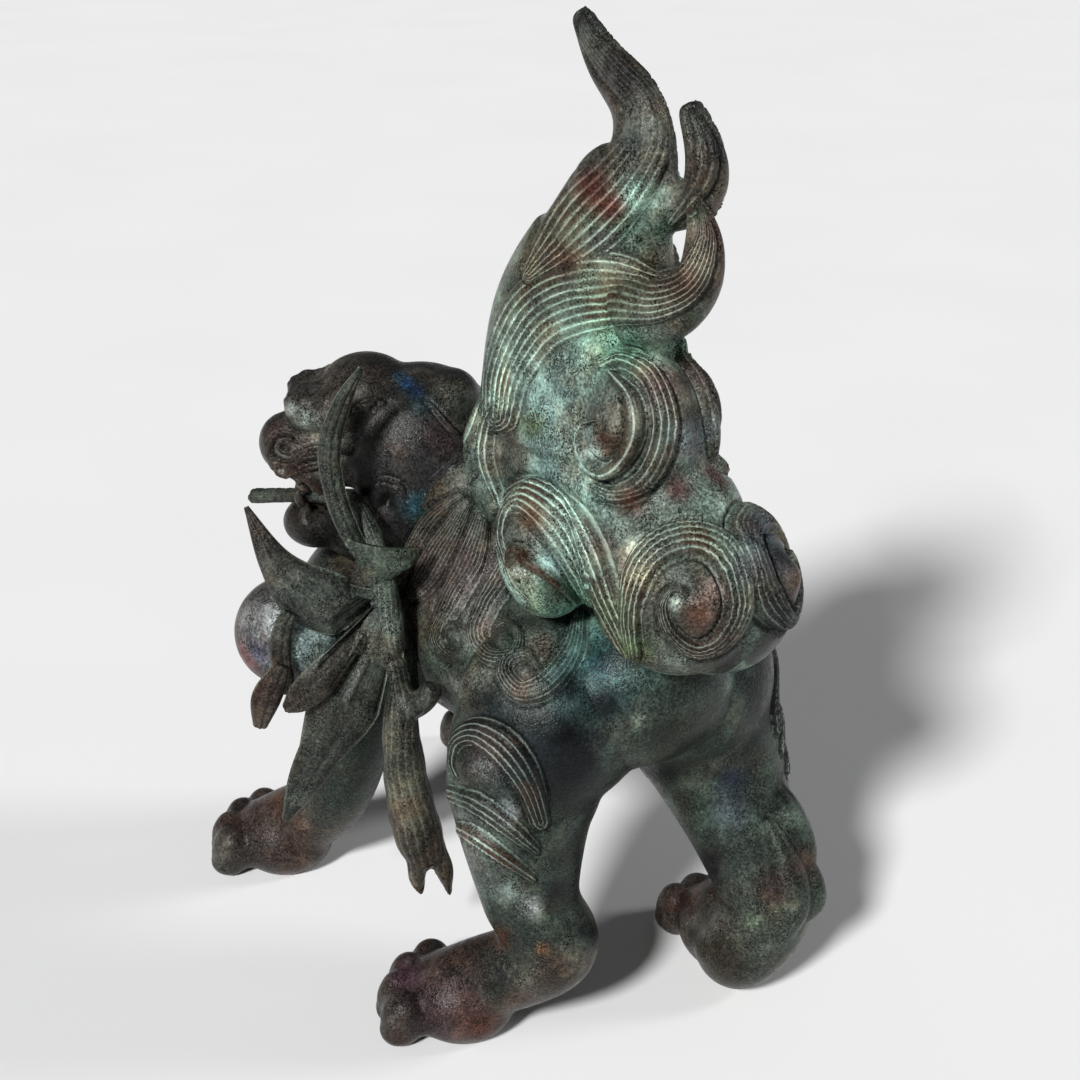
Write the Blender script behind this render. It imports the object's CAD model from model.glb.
"""Looks of the bronze guardian lion: its castings with their chased hair, bark and patina.

Lengths are millimetres in the body frame: the body faces -Y, its left side is +X, the floor is z = 0.
"""

from math import cos, radians, sin

import bmesh
import bpy
import numpy as np
from mathutils import Matrix, Vector
from mathutils.bvhtree import BVHTree


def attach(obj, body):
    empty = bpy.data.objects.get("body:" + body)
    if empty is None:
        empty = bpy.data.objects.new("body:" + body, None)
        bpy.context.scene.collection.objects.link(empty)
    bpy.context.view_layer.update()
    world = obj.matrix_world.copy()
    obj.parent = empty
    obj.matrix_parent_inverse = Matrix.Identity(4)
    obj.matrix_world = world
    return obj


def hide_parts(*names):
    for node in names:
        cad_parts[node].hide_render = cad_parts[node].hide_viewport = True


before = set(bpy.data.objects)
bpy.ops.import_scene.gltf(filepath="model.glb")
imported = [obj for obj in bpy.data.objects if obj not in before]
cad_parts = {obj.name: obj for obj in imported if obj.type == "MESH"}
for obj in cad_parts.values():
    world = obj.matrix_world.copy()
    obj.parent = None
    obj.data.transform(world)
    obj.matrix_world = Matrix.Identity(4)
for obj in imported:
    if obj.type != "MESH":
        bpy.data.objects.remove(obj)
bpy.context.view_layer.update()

MM = 0.001
ORIGIN = np.array((9.0, 8.0, 0.0))  # body-frame point at the frame's origin

HEAD_CENTRE = np.array((25.0, -40.0, 213.0))
HEAD_YAW = radians(57)
HEAD_FORWARD = np.array((sin(HEAD_YAW), -cos(HEAD_YAW), 0.0))
HEAD_LEFT = np.array((cos(HEAD_YAW), sin(HEAD_YAW), 0.0))
HEAD_TURN = np.array(Matrix.Rotation(HEAD_YAW - radians(90), 3, "Z"))

TENON = (22.0, 26.0)  # across and along the back
TENON_Y = 60.0
TENON_FOOT = 168.0
TENON_TOP = 206
SOCKET_FOOT = 150.0
SOCKET_ROOM = 0.4  # round the tenon, on each side
PLATE_REACH = (16.4, 30.4)  # from the middle of the belly plate to its edge
PLATE_Y = 22.0
JOINT_GAP = 0.5  # between castings that only touch
TAIL_CONTACT = 250  # the tail lies on the back only below this height
HEAD_CONTACT = 225  # and the head on the torso below this one
SEAM = 0.35  # depth of the line where two castings are joined
SEAM_WIDTH = 0.8
SQUARE = ((-1, -1), (1, -1), (1, 1), (-1, 1))
MARKS = ("lane", "mask", "hollow", "crest")  # finish marks that the patina reads, beside the tint

# ---- the viewer's sketch plane, on which the chased lines are drawn --------------------------------------
VIEW_AZIMUTH = radians(144)
VIEW_ELEVATION = radians(24)
VIEW_DISTANCE = 770.0
VIEW_TARGET = np.array((-18.0, 0.0, 178.0))
VIEW_BACK = np.array(
    (sin(VIEW_AZIMUTH) * cos(VIEW_ELEVATION), -cos(VIEW_AZIMUTH) * cos(VIEW_ELEVATION), sin(VIEW_ELEVATION))
)
VIEW_EYE = VIEW_TARGET + VIEW_BACK * VIEW_DISTANCE
VIEW_RIGHT = np.cross((0.0, 0.0, 1.0), VIEW_BACK)
VIEW_RIGHT /= np.linalg.norm(VIEW_RIGHT)
VIEW_UP = np.cross(VIEW_BACK, VIEW_RIGHT)


def sketch(points):
    """Where points fall on the sketch plane: millimetres right of and above the target."""
    offset = points - VIEW_EYE
    scale = VIEW_DISTANCE / -(offset @ VIEW_BACK)
    return np.stack((offset @ VIEW_RIGHT * scale, offset @ VIEW_UP * scale), 1)


def facing(points, normals):
    """How squarely each bit of surface faces the viewer, 0 to 1."""
    sight = VIEW_EYE - points
    sight /= np.linalg.norm(sight, axis=1)[:, None]
    return ramp((sight * normals).sum(1), 0.04, 0.34)


def ramp(value, low, high):
    t = np.clip((value - low) / (high - low), 0, 1)
    return t * t * (3 - 2 * t)


# ---- forms -----------------------------------------------------------------------------------------------
def head_at(u, v, w):
    """A point u forward along the muzzle from the head's centre, v to the lion's left and w up."""
    return HEAD_CENTRE + HEAD_FORWARD * u + HEAD_LEFT * v + np.array((0, 0, w))


def smooth_line(knots, step=1.2):
    """A smooth line through hand-placed knots; every column of the knots is carried along."""
    rows = np.array(knots, float)
    outer = np.vstack((2 * rows[0] - rows[1], rows, 2 * rows[-1] - rows[-2]))
    pieces = []
    for a, b, c, d in zip(outer, outer[1:], outer[2:], outer[3:]):
        count = max(2, int(np.linalg.norm((c - b)[:-1]) / step))
        t = np.linspace(0, 1, count, endpoint=False)[:, None]
        pieces.append(
            0.5 * (2 * b + (c - a) * t + (2 * a - 5 * b + 4 * c - d) * t**2 + (3 * b - a - 3 * c + d) * t**3)
        )
    return np.vstack((*pieces, rows[-1:]))


def ball(centre, radii, turn=None):
    return {"centre": np.array(centre, float), "radii": np.array(radii, float), "turn": turn}


def head_ball(u, v, w, *radii):
    return ball(head_at(u, v, w), radii, HEAD_TURN)


def tube(points, radii, flat=1.0):
    """A limb along a line, its width across the body squashed by flat."""
    knots = [(*point, radius) for point, radius in zip(points, radii)]
    line = smooth_line(knots, 2.0)
    line[:, 3] = np.maximum(line[:, 3], 0.4)
    return {"line": line, "flat": flat}


def head_tube(points, radii):
    return tube([head_at(*point) for point in points], radii)


def ball_mesh(form):
    bm = bmesh.new()
    bmesh.ops.create_uvsphere(bm, u_segments=40, v_segments=28, radius=1)
    turn = form["turn"] if form["turn"] is not None else np.eye(3)
    points = np.array([vert.co for vert in bm.verts]) * form["radii"] @ turn.T + form["centre"]
    faces = [[vert.index for vert in face.verts] for face in bm.faces]
    bm.free()
    return points, faces


def ring_frames(centres):
    """Two cross directions at each point of a line, turning as little as possible along it."""
    ahead = np.gradient(centres, axis=0)
    ahead /= np.linalg.norm(ahead, axis=1)[:, None]
    side = np.cross(ahead[0], (0.3, 0.9, 0.31))
    sides = []
    for direction in ahead:
        side = side - direction * (side @ direction)
        side = side / np.linalg.norm(side)
        sides.append(side)
    sides = np.array(sides)
    return sides, np.cross(ahead, sides)


def tube_mesh(form, segments=28):
    centres, radii = form["line"][:, :3], form["line"][:, 3]
    across, over = ring_frames(centres)
    angles = np.linspace(0, 2 * np.pi, segments, endpoint=False)
    rings = [
        centre + radius * (np.cos(angles)[:, None] * a + np.sin(angles)[:, None] * b)
        for centre, radius, a, b in zip(centres, radii, across, over)
    ]
    points = np.vstack(rings)
    points[:, 0] *= form["flat"]
    faces = []
    for ring in range(len(rings) - 1):
        for k in range(segments):
            j = (k + 1) % segments
            low, high = ring * segments, (ring + 1) * segments
            faces.append((low + k, low + j, high + j, high + k))
    faces.append(tuple(range(segments))[::-1])
    faces.append(tuple(range(len(points) - segments, len(points))))
    return points, faces


def reach(points, form):
    """Signed distance of points from a form, near enough for sharing a surface out between castings."""
    if "radii" in form:
        local = points - form["centre"]
        if form["turn"] is not None:
            local = local @ form["turn"]
        return (np.linalg.norm(local / form["radii"], axis=1) - 1) * form["radii"].mean()
    scaled = points / np.array((form["flat"], 1, 1))
    nearest = np.full(len(points), 1e9)
    for x, y, z, radius in form["line"][::2]:
        nearest = np.minimum(nearest, np.linalg.norm(scaled - (x, y, z), axis=1) - radius)
    return nearest


def plain_mesh(points, faces):
    mesh = bpy.data.meshes.new("form")
    mesh.from_pydata([tuple(point) for point in points], [], [tuple(face) for face in faces])
    return mesh


def arrays(mesh):
    """Points, normals and faces of a mesh."""
    points = np.empty(len(mesh.vertices) * 3, np.float32)
    mesh.vertices.foreach_get("co", points)
    normals = np.empty(len(mesh.vertices) * 3, np.float32)
    mesh.vertex_normals.foreach_get("vector", normals)
    faces = [tuple(polygon.vertices) for polygon in mesh.polygons]
    return points.reshape(-1, 3).astype(float), normals.reshape(-1, 3).astype(float), faces


def form_object(forms):
    """All the forms as one object of overlapping shells."""
    bm = bmesh.new()
    for form in forms:
        mesh = plain_mesh(*(ball_mesh(form) if "radii" in form else tube_mesh(form)))
        bm.from_mesh(mesh)
        bpy.data.meshes.remove(mesh)
    mesh = bpy.data.meshes.new("forms")
    bm.to_mesh(mesh)
    bm.free()
    obj = bpy.data.objects.new("forms", mesh)
    bpy.context.scene.collection.objects.link(obj)
    return obj


def remesh(obj, voxel, smoothing):
    """One closed skin over all the shells of an object, then smoothed."""
    step = obj.modifiers.new("fuse", "REMESH")
    step.mode = "VOXEL"
    step.voxel_size = voxel
    relax = obj.modifiers.new("relax", "SMOOTH")
    relax.iterations = smoothing


def fuse(forms, coarse, fine, details=(), hollow=None, smoothing=4):
    """One rounded surface over overlapping forms: fused coarsely, then finely with the details added."""
    rough = form_object(forms)
    remesh(rough, coarse, 5)
    tool = None
    if hollow:
        tool = form_object([hollow])
        scoop = rough.modifiers.new("scoop", "BOOLEAN")
        scoop.operation = "DIFFERENCE"
        scoop.object = tool
    graph = bpy.context.evaluated_depsgraph_get()
    shaped = bpy.data.meshes.new_from_object(rough.evaluated_get(graph), depsgraph=graph)
    obj = form_object(details)
    bm = bmesh.new()
    bm.from_mesh(obj.data)
    bm.from_mesh(shaped)
    bm.to_mesh(obj.data)
    bm.free()
    remesh(obj, fine, smoothing)
    graph = bpy.context.evaluated_depsgraph_get()
    result = arrays(obj.evaluated_get(graph).to_mesh())
    for used in filter(None, (rough, tool, obj)):
        bpy.data.objects.remove(used)
    return result


# ---- chased relief ---------------------------------------------------------------------------------------
LOCK_BORDER = 1.45  # how far a lock's groove reaches, as a share of its half width
LOCK_GAIN = 1.3


def as_seen(points, normals):
    """The viewer's own side, where nothing is mirrored."""
    return points, normals


def swap_sides(points, normals):
    flip = np.array((-1.0, 1.0, 1.0))
    return points * flip, normals * flip


def swap_cheeks(points, normals):
    """The mirror image in the head's own middle plane."""
    offset = ((points - HEAD_CENTRE) @ HEAD_LEFT)[:, None]
    lean = (normals @ HEAD_LEFT)[:, None]
    return points - 2 * offset * HEAD_LEFT, normals - 2 * lean * HEAD_LEFT


def lock(lanes, *knots, rise=1.8, cut=0.9, edge=1.2, pale=1.0):
    """A lock of hair on the sketch plane: knots are (right, up, half width); lanes are its combed lines."""
    line = smooth_line(knots)
    line[:, 2] = np.maximum(line[:, 2], 0.5)
    return dict(line=line, widest=line[:, 2].max(), lanes=lanes, rise=rise, cut=cut, edge=edge, pale=pale)


def follow(spots, line):
    """For every spot, its place across the line as a share of the half width, and the half width there."""
    start, run = line[:-1], np.diff(line, axis=0)
    length = (run[:, :2] ** 2).sum(1) + 1e-9
    offset_x = spots[:, 0][:, None] - start[:, 0]
    offset_y = spots[:, 1][:, None] - start[:, 1]
    along = np.clip((offset_x * run[:, 0] + offset_y * run[:, 1]) / length, 0, 1)
    gap_x = offset_x - along * run[:, 0]
    gap_y = offset_y - along * run[:, 1]
    width = start[:, 2] + along * run[:, 2]
    share = np.hypot(gap_x, gap_y) / width
    best = share.argmin(1)
    rows = np.arange(len(spots))
    side = np.sign(run[best, 0] * gap_y[rows, best] - run[best, 1] * gap_x[rows, best])
    return share[rows, best] * side, width[rows, best]


class Relief:
    """Heights and finish marks gathered over a surface before they are carved into it."""

    def __init__(self, points, normals):
        self.points, self.normals = points, normals
        size = len(points)
        self.height = np.zeros(size)
        self.lane = np.full(size, 0.5)
        self.mask = np.zeros(size)
        self.hollow = np.zeros(size)
        self.crest = np.zeros(size)
        self.claim = np.full(size, 9.0)

    def dress(self, locks, bosses, left, right, mirror):
        """Comb the locks and raise the bosses on the left, and their mirror images on the right."""
        for chosen, turn in ((left, as_seen), (right, mirror)):
            self.comb(locks, chosen, turn)
            for boss in bosses:
                self.dot(*boss, chosen, turn)

    def comb(self, locks, chosen, mirror):
        """Carve locks as seen by the viewer, on the chosen points, or on their mirror images."""
        points, normals = mirror(self.points, self.normals)
        spots = sketch(points)
        turned = facing(points, normals)
        chosen = chosen & (turned > 0)
        for item in locks:
            line, margin = item["line"], item["widest"] * 1.4 + 2
            low, high = line[:, :2].min(0) - margin, line[:, :2].max(0) + margin
            near = np.flatnonzero(chosen & ((spots > low) & (spots < high)).all(1))
            if not len(near):
                continue
            share, width = follow(spots[near], line)
            size = np.abs(share)
            wins = size < np.minimum(LOCK_BORDER, self.claim[near])
            near, share, width, size = near[wins], share[wins], width[wins], size[wins]
            strength = turned[near]
            self.claim[near] = size
            body = np.sqrt(np.clip(1 - size**2, 0, 1)) * (width / item["widest"]) ** 0.5
            border = np.exp(-(((size - 1.08) * width / 0.9) ** 2))
            phase = item["lanes"] * (share + 1) / 2
            groove = np.abs(phase - np.round(phase)) * 2
            lane_width = 2 * width / item["lanes"]
            deep = item["cut"] * np.clip(lane_width / 3, 0.2, 1) * (size < 1)
            height = item["rise"] * body - deep * (1 - ramp(groove, 0.0, 0.6)) - item["edge"] * border
            self.height[near] = LOCK_GAIN * height * strength
            self.lane[near] = phase
            self.mask[near] = item["pale"] * ramp(1.2 - size, 0.05, 0.2) * strength
            outside = (size > 0.97) * ramp(LOCK_BORDER - size, 0, 0.4)
            self.hollow[near] = np.clip(border * 0.8 + 0.45 * outside, 0, 1) * strength
            self.crest[near] = body * strength

    def dot(self, right, up, radius, height, chosen, mirror):
        """A rounded boss (or a pit, if the height is negative) placed on the sketch plane."""
        points, normals = mirror(self.points, self.normals)
        away = np.linalg.norm(sketch(points) - (right, up), axis=1) / radius
        near = chosen & (away < 2.5)
        shape = np.exp(-(away[near] ** 2)) * facing(points[near], normals[near])
        self.height[near] += height * shape
        mark = self.crest if height > 0 else self.hollow
        mark[near] = np.maximum(mark[near], shape)

    def score(self, seam, shown, dark):
        """The fine line where two castings meet, from how near each point is to it."""
        line = np.exp(-((seam / SEAM_WIDTH) ** 2)) * shown
        self.height -= SEAM * line
        self.hollow = np.maximum(self.hollow, dark * line)

    def carve(self):
        self.points += self.normals * self.height[:, None]

    def marks(self):
        return {key: getattr(self, key) for key in MARKS}


# ---- zones of colour -------------------------------------------------------------------------------------
TURQUOISE = (0.14, 0.195, 0.175)
SEA_GREEN = (0.11, 0.22, 0.16)
GREY_GREEN = (0.048, 0.060, 0.050)
OLIVE = (0.060, 0.055, 0.036)
DEEP_GREEN = (0.024, 0.034, 0.028)
BROWN = (0.070, 0.044, 0.032)
GREY_BROWN = (0.058, 0.050, 0.042)
PURPLE_BROWN = (0.048, 0.028, 0.027)
BLUE_BLACK = (0.007, 0.010, 0.014)
CHARCOAL = (0.027, 0.027, 0.025)
RED_BROWN = (0.050, 0.024, 0.015)
GROUND_WEIGHT = 0.35
ZONE_WEIGHT = 1.6
SPOT_STRENGTH = 0.92

# zones: centre, radius and colour; those of the body and tail with a negative x lie on the right side only
ZONES = [
    ((0, 55, 232), 34, TURQUOISE),
    ((12, 82, 240), 22, TURQUOISE),
    ((10, 72, 286), 18, TURQUOISE),
    ((8, 88, 296), 12, SEA_GREEN),
    ((0, 25, 262), 18, GREY_GREEN),
    ((0, 50, 318), 26, OLIVE),
    ((8, 92, 306), 14, OLIVE),
    ((8, 124, 335), 20, BROWN),
    ((0, 78, 350), 20, GREY_BROWN),
    ((6, 84, 338), 8, SEA_GREEN),
    ((0, 70, 385), 26, GREY_BROWN),
    ((-6, 110, 360), 16, GREY_BROWN),
    ((20, 104, 268), 15, GREY_BROWN),
    ((14, 125, 270), 12, CHARCOAL),
    ((36, 130, 214), 20, GREY_BROWN),
    ((24, 105, 225), 12, TURQUOISE),
    ((20, 150, 210), 14, CHARCOAL),
    ((40, 76, 222), 12, GREY_BROWN),
    ((38, 70, 200), 9, TURQUOISE),
    ((30, 90, 200), 12, SEA_GREEN),
    ((34, 100, 180), 16, (0.06, 0.11, 0.11)),
    ((42, 30, 165), 34, GREY_GREEN),
    ((34, -6, 200), 26, GREY_BROWN),
    ((45, -20, 160), 26, GREY_BROWN),
    ((62, 88, 150), 17, BLUE_BLACK),
    ((50, 108, 140), 14, BLUE_BLACK),
    ((70, 62, 125), 14, GREY_GREEN),
    ((66, 66, 98), 16, (0.12, 0.14, 0.13)),
    ((50, 100, 96), 14, DEEP_GREEN),
    ((52, 84, 62), 20, DEEP_GREEN),
    ((44, 100, 38), 16, (0.06, 0.05, 0.042)),
    ((66, 62, 12), 30, PURPLE_BROWN),
    ((-58, 84, 12), 30, (0.06, 0.055, 0.045)),
    ((30, 95, 105), 22, DEEP_GREEN),
    ((48, -60, 80), 34, DEEP_GREEN),
    ((58, -80, 36), 16, BROWN),
    ((64, -98, 12), 28, PURPLE_BROWN),
    ((0, -80, 150), 34, GREY_BROWN),
    ((0, 20, 105), 40, DEEP_GREEN),
]
HEAD_ZONES = [
    (head_at(-6, 10, 44), 22, CHARCOAL),
    (head_at(24, 14, 34), 14, GREY_BROWN),
    (head_at(30, 14, 18), 8, (0.13, 0.15, 0.13)),
    (head_at(48, 8, 8), 14, GREY_BROWN),
    (head_at(36, 12, -8), 12, GREY_BROWN),
    (head_at(-4, 30, 4), 18, (0.034, 0.034, 0.034)),
    (head_at(-20, 26, 36), 14, (0.026, 0.030, 0.023)),
    (head_at(34, 0, -30), 18, CHARCOAL),
]
# spots: right, up and radius on the sketch plane, and colour
HEAD_SPOTS = [
    (-100, 66, 6, (0.036, 0.036, 0.034)),
    (-98.5, 51, 5, (0.15, 0.17, 0.15)),
    (-106, 56, 3, (0.12, 0.13, 0.12)),
    (-113, 46, 4, (0.055, 0.036, 0.032)),
    (-57, 67, 3, (0.020, 0.050, 0.105)),
    (-53, 63, 3, (0.014, 0.034, 0.075)),
    (-60, 70, 2.5, (0.030, 0.060, 0.090)),
    (-50, 58, 5, (0.028, 0.045, 0.050)),
    (-43, 43, 8, (0.040, 0.028, 0.030)),
    (-39, 62, 7, (0.046, 0.050, 0.043)),
    (-53, 15, 6, (0.032, 0.075, 0.090)),
    (-47, 9, 5, (0.060, 0.12, 0.10)),
    (-64, 38, 8, (0.060, 0.058, 0.055)),
    (-78, 52, 6, (0.003, 0.003, 0.003)),
    (-76, 44, 6, (0.003, 0.003, 0.003)),
    (-78, 33, 6, (0.006, 0.006, 0.006)),
    (-74, 24, 5, (0.008, 0.008, 0.008)),
    (-66, 15, 5, (0.003, 0.003, 0.003)),
]
TAIL_SPOTS = [
    (2, 60, 14, (0.110, 0.152, 0.140)),
    (7, 32, 14, (0.135, 0.190, 0.177)),
    (-12, 30, 9, (0.060, 0.075, 0.065)),
    (-14, 52, 7, (0.075, 0.090, 0.070)),
    (20, 8, 5, (0.10, 0.12, 0.10)),
    (36, 0, 6, (0.20, 0.25, 0.22)),
    (-18, 40, 11, (0.070, 0.065, 0.055)),
    (-3, 49, 5, (0.09, 0.12, 0.07)),
    (26.5, 42, 7, RED_BROWN),
    (34, 54, 6.5, (0.085, 0.080, 0.068)),
    (52, 67, 9, (0.085, 0.066, 0.062)),
    (66, 70, 8, (0.040, 0.034, 0.030)),
    (39, 17, 8, (0.065, 0.032, 0.022)),
    (19, 46, 3.5, (0.27, 0.34, 0.32)),
    (22, 38, 4, (0.27, 0.33, 0.30)),
    (59, 22, 7, (0.075, 0.045, 0.042)),
    (64, 44, 8, (0.09, 0.12, 0.135)),
    (73, 55, 10, (0.022, 0.022, 0.024)),
    (27, -3, 9, (0.085, 0.075, 0.062)),
    (-4, 10, 7, (0.095, 0.060, 0.038)),
    (4, -11, 6, (0.21, 0.29, 0.28)),
    (-10, -14, 2.5, (0.25, 0.32, 0.30)),
    (-8, -7, 5, (0.040, 0.020, 0.012)),
    (6, -23, 7, (0.042, 0.052, 0.036)),
    (29, -31, 10, (0.075, 0.095, 0.060)),
    (45, -16, 7, (0.15, 0.145, 0.105)),
    (57, -26, 4, (0.26, 0.30, 0.26)),
    (68, -32, 7, (0.075, 0.050, 0.039)),
    (74, -21, 6, (0.16, 0.14, 0.13)),
    (92, -12, 9, (0.12, 0.14, 0.145)),
    (103, -20, 8, (0.014, 0.016, 0.020)),
    (87, 7, 8, (0.045, 0.055, 0.070)),
    (82, -53, 11, (0.020, 0.021, 0.019)),
    (41, -46, 8, (0.055, 0.085, 0.048)),
    (43, 146, 9, (0.16, 0.24, 0.21)),
    (53, 133, 6, (0.07, 0.12, 0.095)),
    (41, 171, 7, (0.055, 0.062, 0.058)),
    (22, 152, 8, (0.075, 0.028, 0.022)),
    (30, 142, 7, (0.09, 0.030, 0.024)),
    (8, 120, 8, (0.08, 0.050, 0.034)),
    (28, 128, 6, (0.10, 0.105, 0.10)),
    (37, 84, 8, (0.09, 0.16, 0.12)),
    (34, 200, 16, (0.030, 0.028, 0.028)),
    (16, 222, 10, (0.022, 0.022, 0.022)),
    (64, 190, 9, (0.020, 0.019, 0.020)),
    (78, 168, 10, (0.018, 0.017, 0.018)),
    (67, 141, 6, (0.030, 0.040, 0.032)),
    (76, 133, 6, (0.060, 0.034, 0.026)),
    (84, 118, 8, (0.020, 0.018, 0.018)),
    (71, 107, 8, (0.032, 0.034, 0.028)),
    (62, 108, 7, (0.060, 0.038, 0.026)),
    (66, 96, 6, (0.045, 0.060, 0.046)),
]
FAR_EDGE_SPOTS = [
    (94, 4, 10, (0.050, 0.060, 0.075)),
    (100, -10, 10, (0.014, 0.017, 0.022)),
    (101, -28, 10, (0.016, 0.018, 0.020)),
]
FLANK_SPOTS = [
    (-38, -16, 16, (0.082, 0.072, 0.070)),
    (-24, -12, 10, (0.098, 0.090, 0.086)),
    (-26, -36, 10, (0.105, 0.105, 0.095)),
    (-36, -63, 6, (0.10, 0.105, 0.095)),
    (-24, -58, 6, (0.14, 0.145, 0.125)),
    (-50, -74, 8, (0.045, 0.035, 0.028)),
    (2, -45, 8, (0.11, 0.12, 0.105)),
    (-10, -60, 9, (0.075, 0.075, 0.070)),
    (27, -52, 8, (0.016, 0.036, 0.040)),
    (38, -48, 8, (0.018, 0.036, 0.033)),
    (13, -64, 9, (0.014, 0.022, 0.024)),
    (39, -60, 6, (0.060, 0.10, 0.095)),
    (28, -70, 10, (0.003, 0.004, 0.006)),
    (11, -84, 10, (0.003, 0.004, 0.006)),
    (16, -104, 13, (0.005, 0.006, 0.008)),
    (43, -78, 4, (0.13, 0.16, 0.14)),
    (57, -86, 13, (0.016, 0.020, 0.014)),
    (60, -64, 8, (0.022, 0.034, 0.028)),
    (-23, -90, 10, (0.055, 0.046, 0.042)),
    (-30, -118, 10, (0.050, 0.055, 0.050)),
    (-16, -140, 8, (0.034, 0.038, 0.034)),
    (-4, -157, 5, (0.16, 0.17, 0.165)),
    (-33, -127, 6, (0.12, 0.13, 0.12)),
    (-14, -117, 5, (0.14, 0.16, 0.165)),
    (-25, -98, 5, (0.11, 0.115, 0.11)),
    (-14, -152, 5, (0.10, 0.12, 0.11)),
    (8, -150, 7, (0.008, 0.010, 0.010)),
    (20, -168, 6, (0.010, 0.015, 0.013)),
    (6, -184, 8, (0.045, 0.033, 0.024)),
    (1, -175, 3, (0.12, 0.07, 0.04)),
    (-17, -171, 5, (0.062, 0.038, 0.027)),
    (-20, -192, 9, (0.022, 0.027, 0.023)),
    (-46, -202, 12, (0.036, 0.023, 0.025)),
    (-34, -196, 10, (0.036, 0.026, 0.026)),
    (-58, -186, 7, (0.046, 0.027, 0.036)),
    (-24, -210, 6, (0.055, 0.026, 0.019)),
]
FAR_LEG_SPOTS = [
    (42, -80, 4, (0.13, 0.15, 0.13)),
    (50, -98, 10, (0.016, 0.021, 0.016)),
    (82, -103, 7, (0.022, 0.030, 0.042)),
    (82, -116, 8, (0.048, 0.058, 0.064)),
    (70, -88, 8, (0.026, 0.036, 0.030)),
    (70, -72, 12, (0.020, 0.034, 0.027)),
    (62, -52, 8, (0.022, 0.040, 0.036)),
    (74, -138, 8, (0.012, 0.012, 0.014)),
    (91, -163, 4, (0.10, 0.12, 0.09)),
    (99, -148, 8, (0.046, 0.032, 0.030)),
    (112, -140, 8, (0.040, 0.030, 0.026)),
    (79, -181, 11, (0.026, 0.023, 0.016)),
    (61, -156, 7, (0.030, 0.019, 0.016)),
]


def zone_colour(points, zones, ground, two_sided=True):
    """Smoothly blended patina colour at every point; two-sided zones colour both flanks."""
    spots = points.copy()
    if two_sided:
        spots[:, 0] = np.abs(spots[:, 0])
    total = np.full((len(spots), 1), GROUND_WEIGHT)
    colour = np.array(ground) * total
    for centre, radius, tint in zones:
        middle = np.array(centre, float)
        source = points if two_sided and middle[0] < 0 else spots
        away = np.linalg.norm(source - middle, axis=1) / radius
        weight = np.exp(-(away**2))[:, None] * ZONE_WEIGHT
        colour = colour + weight * np.array(tint)
        total = total + weight
    return colour / total


def spot_colour(colour, points, normals, spots, chosen, mirror=as_seen):
    """Colours laid over the blend as the viewer sees them, on the chosen points or on their mirror images."""
    points, normals = mirror(points, normals)
    place = sketch(points)
    turned = ramp(facing(points, normals), 0.0, 0.4) * chosen
    for right_by, up, radius, tint in spots:
        away = np.linalg.norm(place - (right_by, up), axis=1) / radius
        weight = SPOT_STRENGTH * np.exp(-(away**2.5)) * turned
        colour = colour + weight[:, None] * (np.array(tint) - colour)
    return colour


# ---- materials -------------------------------------------------------------------------------------------
class Nodes:
    """Short ways to add and join shader nodes."""

    def __init__(self, name):
        self.material = bpy.data.materials.new(name)
        self.material.use_nodes = True
        self.tree = self.material.node_tree
        self.shader = self.tree.nodes["Principled BSDF"]
        self.place = self.tree.nodes.new("ShaderNodeTexCoord").outputs["Object"]

    def feed(self, socket, value):
        if isinstance(value, bpy.types.NodeSocket):
            self.tree.links.new(value, socket)
        elif value is not None:
            socket.default_value = value

    def add(self, kind, settings, **inputs):
        node = self.tree.nodes.new(kind)
        for key, value in settings.items():
            setattr(node, key, value)
        for key, value in inputs.items():
            self.feed(node.inputs[key], value)
        return node

    def attribute(self, name, output="Fac"):
        return self.add("ShaderNodeAttribute", {"attribute_name": name}).outputs[output]

    def math(self, operation, first, second=0.0, clamp=False):
        node = self.add("ShaderNodeMath", {"operation": operation, "use_clamp": clamp})
        self.feed(node.inputs[0], first)
        self.feed(node.inputs[1], second)
        return node.outputs[0]

    def ramp(self, value, low, high, to_low=0.0, to_high=1.0):
        node = self.add("ShaderNodeMapRange", {"interpolation_type": "SMOOTHSTEP"})
        for index, item in enumerate((value, low, high, to_low, to_high)):
            self.feed(node.inputs[index], item)
        return node.outputs[0]

    def noise(self, scale, detail=3.0, offset=0.0):
        spot = self.add("ShaderNodeMapping", {})
        self.feed(spot.inputs["Vector"], self.place)
        self.feed(spot.inputs["Location"], (offset, offset * 0.7, -offset))
        node = self.add("ShaderNodeTexNoise", {}, Scale=scale, Detail=detail)
        self.feed(node.inputs["Vector"], spot.outputs[0])
        return node.outputs[0]

    def blend(self, factor, first, second, mode="MIX"):
        node = self.add("ShaderNodeMix", {"data_type": "RGBA", "blend_type": mode, "clamp_factor": True})
        self.feed(node.inputs["Factor"], factor)
        colours = [socket for socket in node.inputs if socket.type == "RGBA"]
        for socket, value in zip(colours, (first, second)):
            self.feed(socket, (*value, 1.0) if isinstance(value, tuple) else value)
        return next(socket for socket in node.outputs if socket.type == "RGBA")

    def times(self, colour, factors):
        return self.blend(1.0, colour, factors, "MULTIPLY")


CREAM = (0.34, 0.38, 0.34)
BLACK_SPOT = (0.006, 0.007, 0.007)
RUST = (0.052, 0.028, 0.018)
# these multiply the colour they are laid over
RUBBED = (0.50, 0.42, 0.36)
SHADED = (0.4, 0.4, 0.4)
WARMED = (1.25, 0.88, 0.72)
DUSTED = (2.9, 3.0, 2.9)
CHALKED = (2.6, 2.7, 2.65)
GLINTING = (2.3, 2.4, 2.5)
BRIGHTNESS = (2.15, 2.15, 2.15)
CONTRAST = 1.3


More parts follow.
